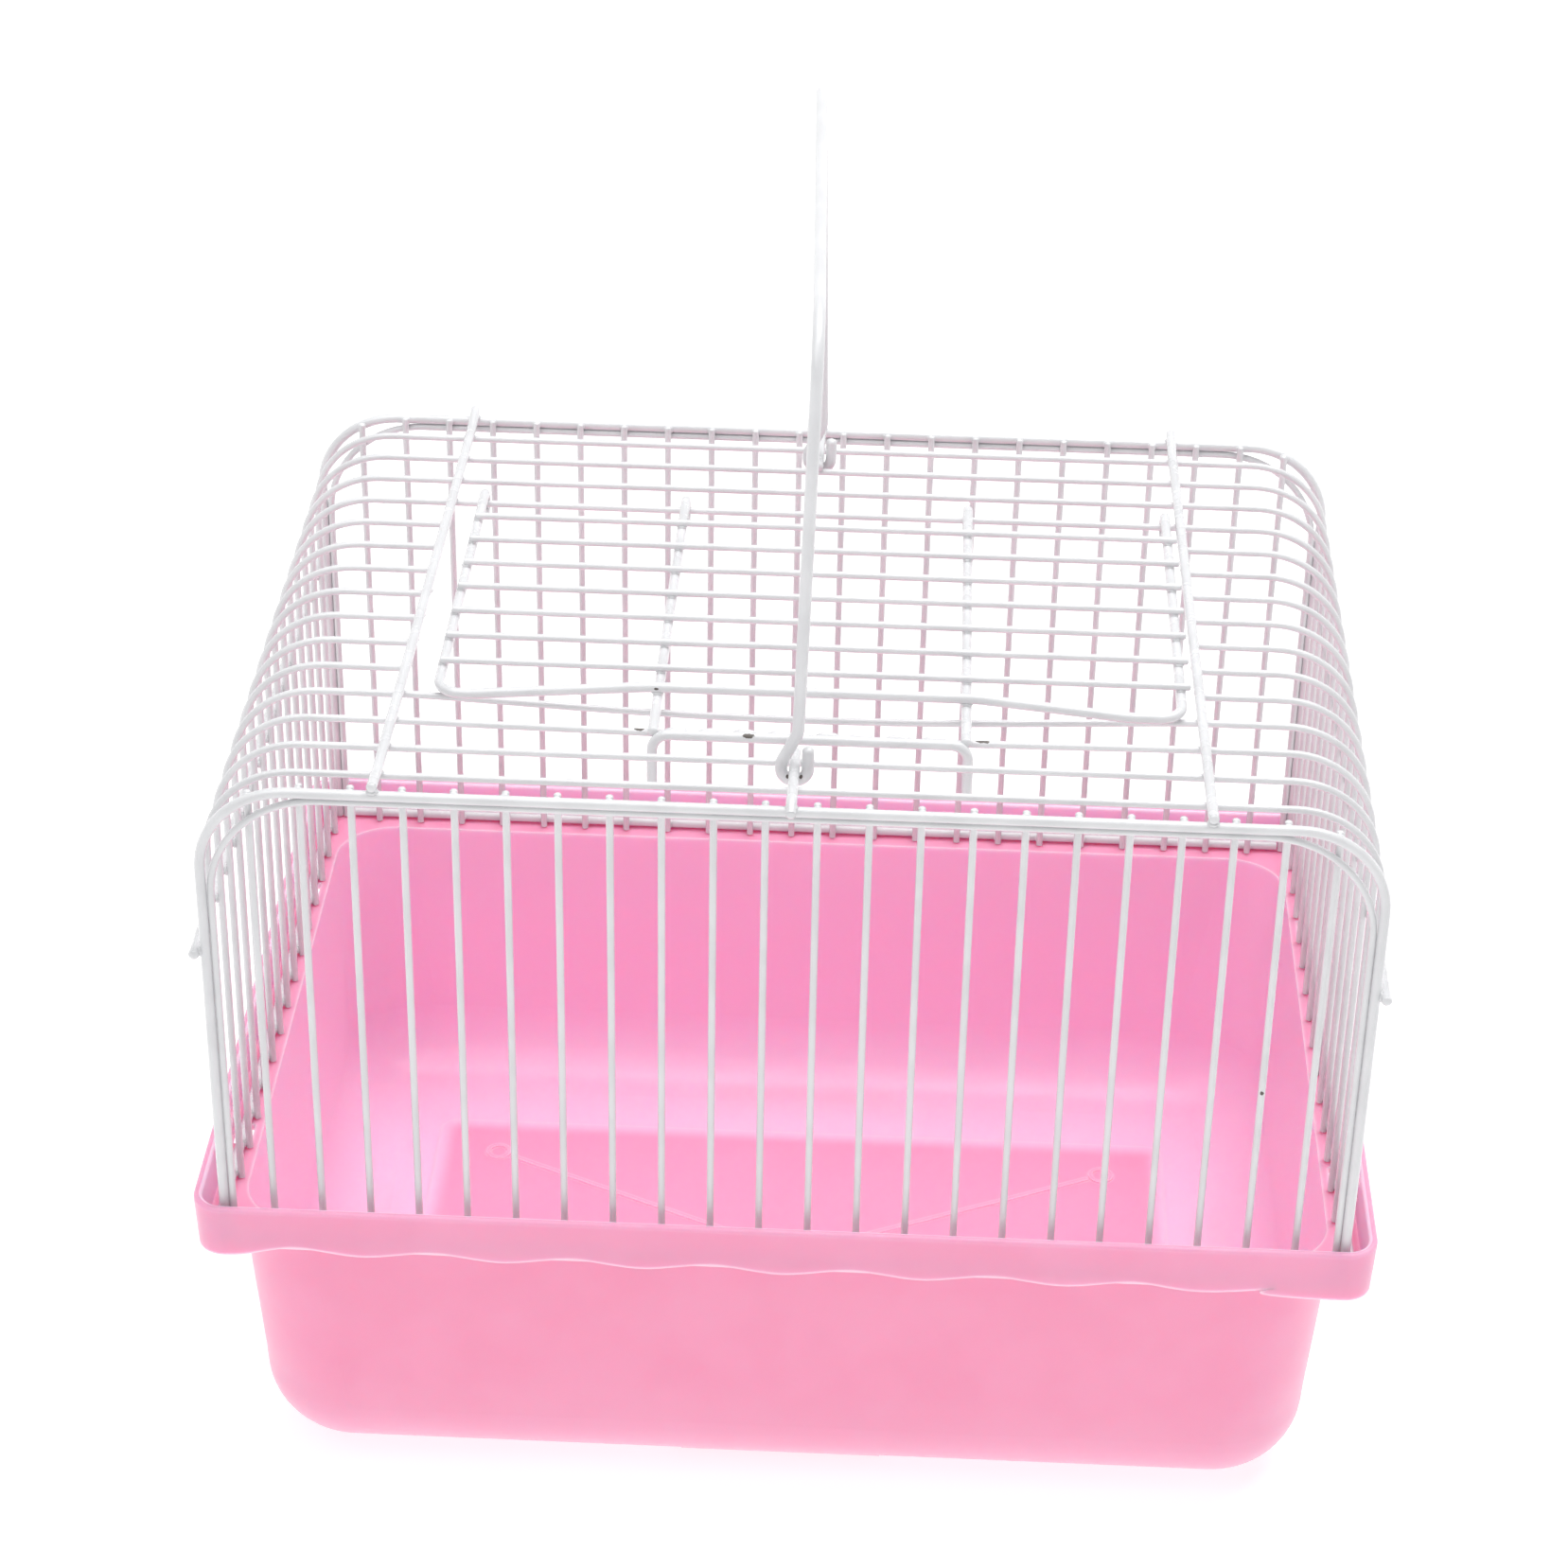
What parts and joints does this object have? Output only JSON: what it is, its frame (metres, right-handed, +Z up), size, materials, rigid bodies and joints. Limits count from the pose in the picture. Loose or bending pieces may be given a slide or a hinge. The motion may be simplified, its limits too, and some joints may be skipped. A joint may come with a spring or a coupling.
{
  "type": "small poultry transport crate",
  "caption": "Hand-carried chick and small pet carrier: moulded pink tray, welded white wire dome, top door with sprung latch loop, and swinging wire handle",
  "frame": {"origin": "centre of the overall box at floor level, under the four low feet of the tray", "axes": "+X to the carrier's right seen from its front, +Y from the front to the back, +Z up"},
  "size_m": [0.2436, 0.1712, 0.269],
  "materials": {
    "pink_plastic": "semi-gloss moulded pink plastic, slightly see-through at thin edges",
    "white_wire": "glossy white coated steel wire",
    "handle_wire": "glossy white coated steel wire, thicker"
  },
  "bodies": {
    "tray": {"tray": "pink_plastic"},
    "cage": {"front_bars": "white_wire", "back_bars": "white_wire", "hoop_a": "white_wire", "hoop_b": "white_wire", "hoop_c": "white_wire", "hoop_d": "white_wire", "hoop_e": "white_wire", "hoop_f": "white_wire", "hoop_g": "white_wire", "hoop_h": "white_wire", "hoop_i": "white_wire", "hoop_j": "white_wire", "hoop_k": "white_wire", "hoop_l": "white_wire", "hoop_m": "white_wire", "hoop_n": "white_wire", "hoop_o": "white_wire", "front_arch": "white_wire", "front_inner_arch": "white_wire", "front_anchor": "white_wire", "back_arch": "white_wire", "back_inner_arch": "white_wire", "back_anchor": "white_wire", "left_top_rail": "white_wire", "left_side_rail": "white_wire", "right_top_rail": "white_wire", "right_side_rail": "white_wire", "front_foot_rail": "white_wire", "back_foot_rail": "white_wire", "left_foot_rail": "white_wire", "right_foot_rail": "white_wire"},
    "door": {"door_frame": "white_wire", "door_arm_left": "white_wire", "door_arm_right": "white_wire", "door_rung_1": "white_wire", "door_rung_2": "white_wire", "door_rung_3": "white_wire", "door_rung_4": "white_wire", "door_rung_5": "white_wire", "door_rung_6": "white_wire", "door_rung_7": "white_wire", "latch_loop": "white_wire"},
    "handle": {"handle": "handle_wire"}
  },
  "joints": [
    {"name": "top_lift", "type": "slide", "parent": "tray", "child": "cage", "axis": [0, 0, 1], "range_m": [0, 0.05]},
    {"name": "door_hinge", "type": "hinge", "parent": "cage", "child": "door", "pos_m": [0.00185, 0.042, 0.1747], "axis": [-1, 0, 0], "range_deg": [0, 57]},
    {"name": "handle_swing", "type": "hinge", "parent": "cage", "child": "handle", "pos_m": [0, 0, 0.17652], "axis": [0, 1, 0], "range_deg": [-86, 86]}
  ]
}
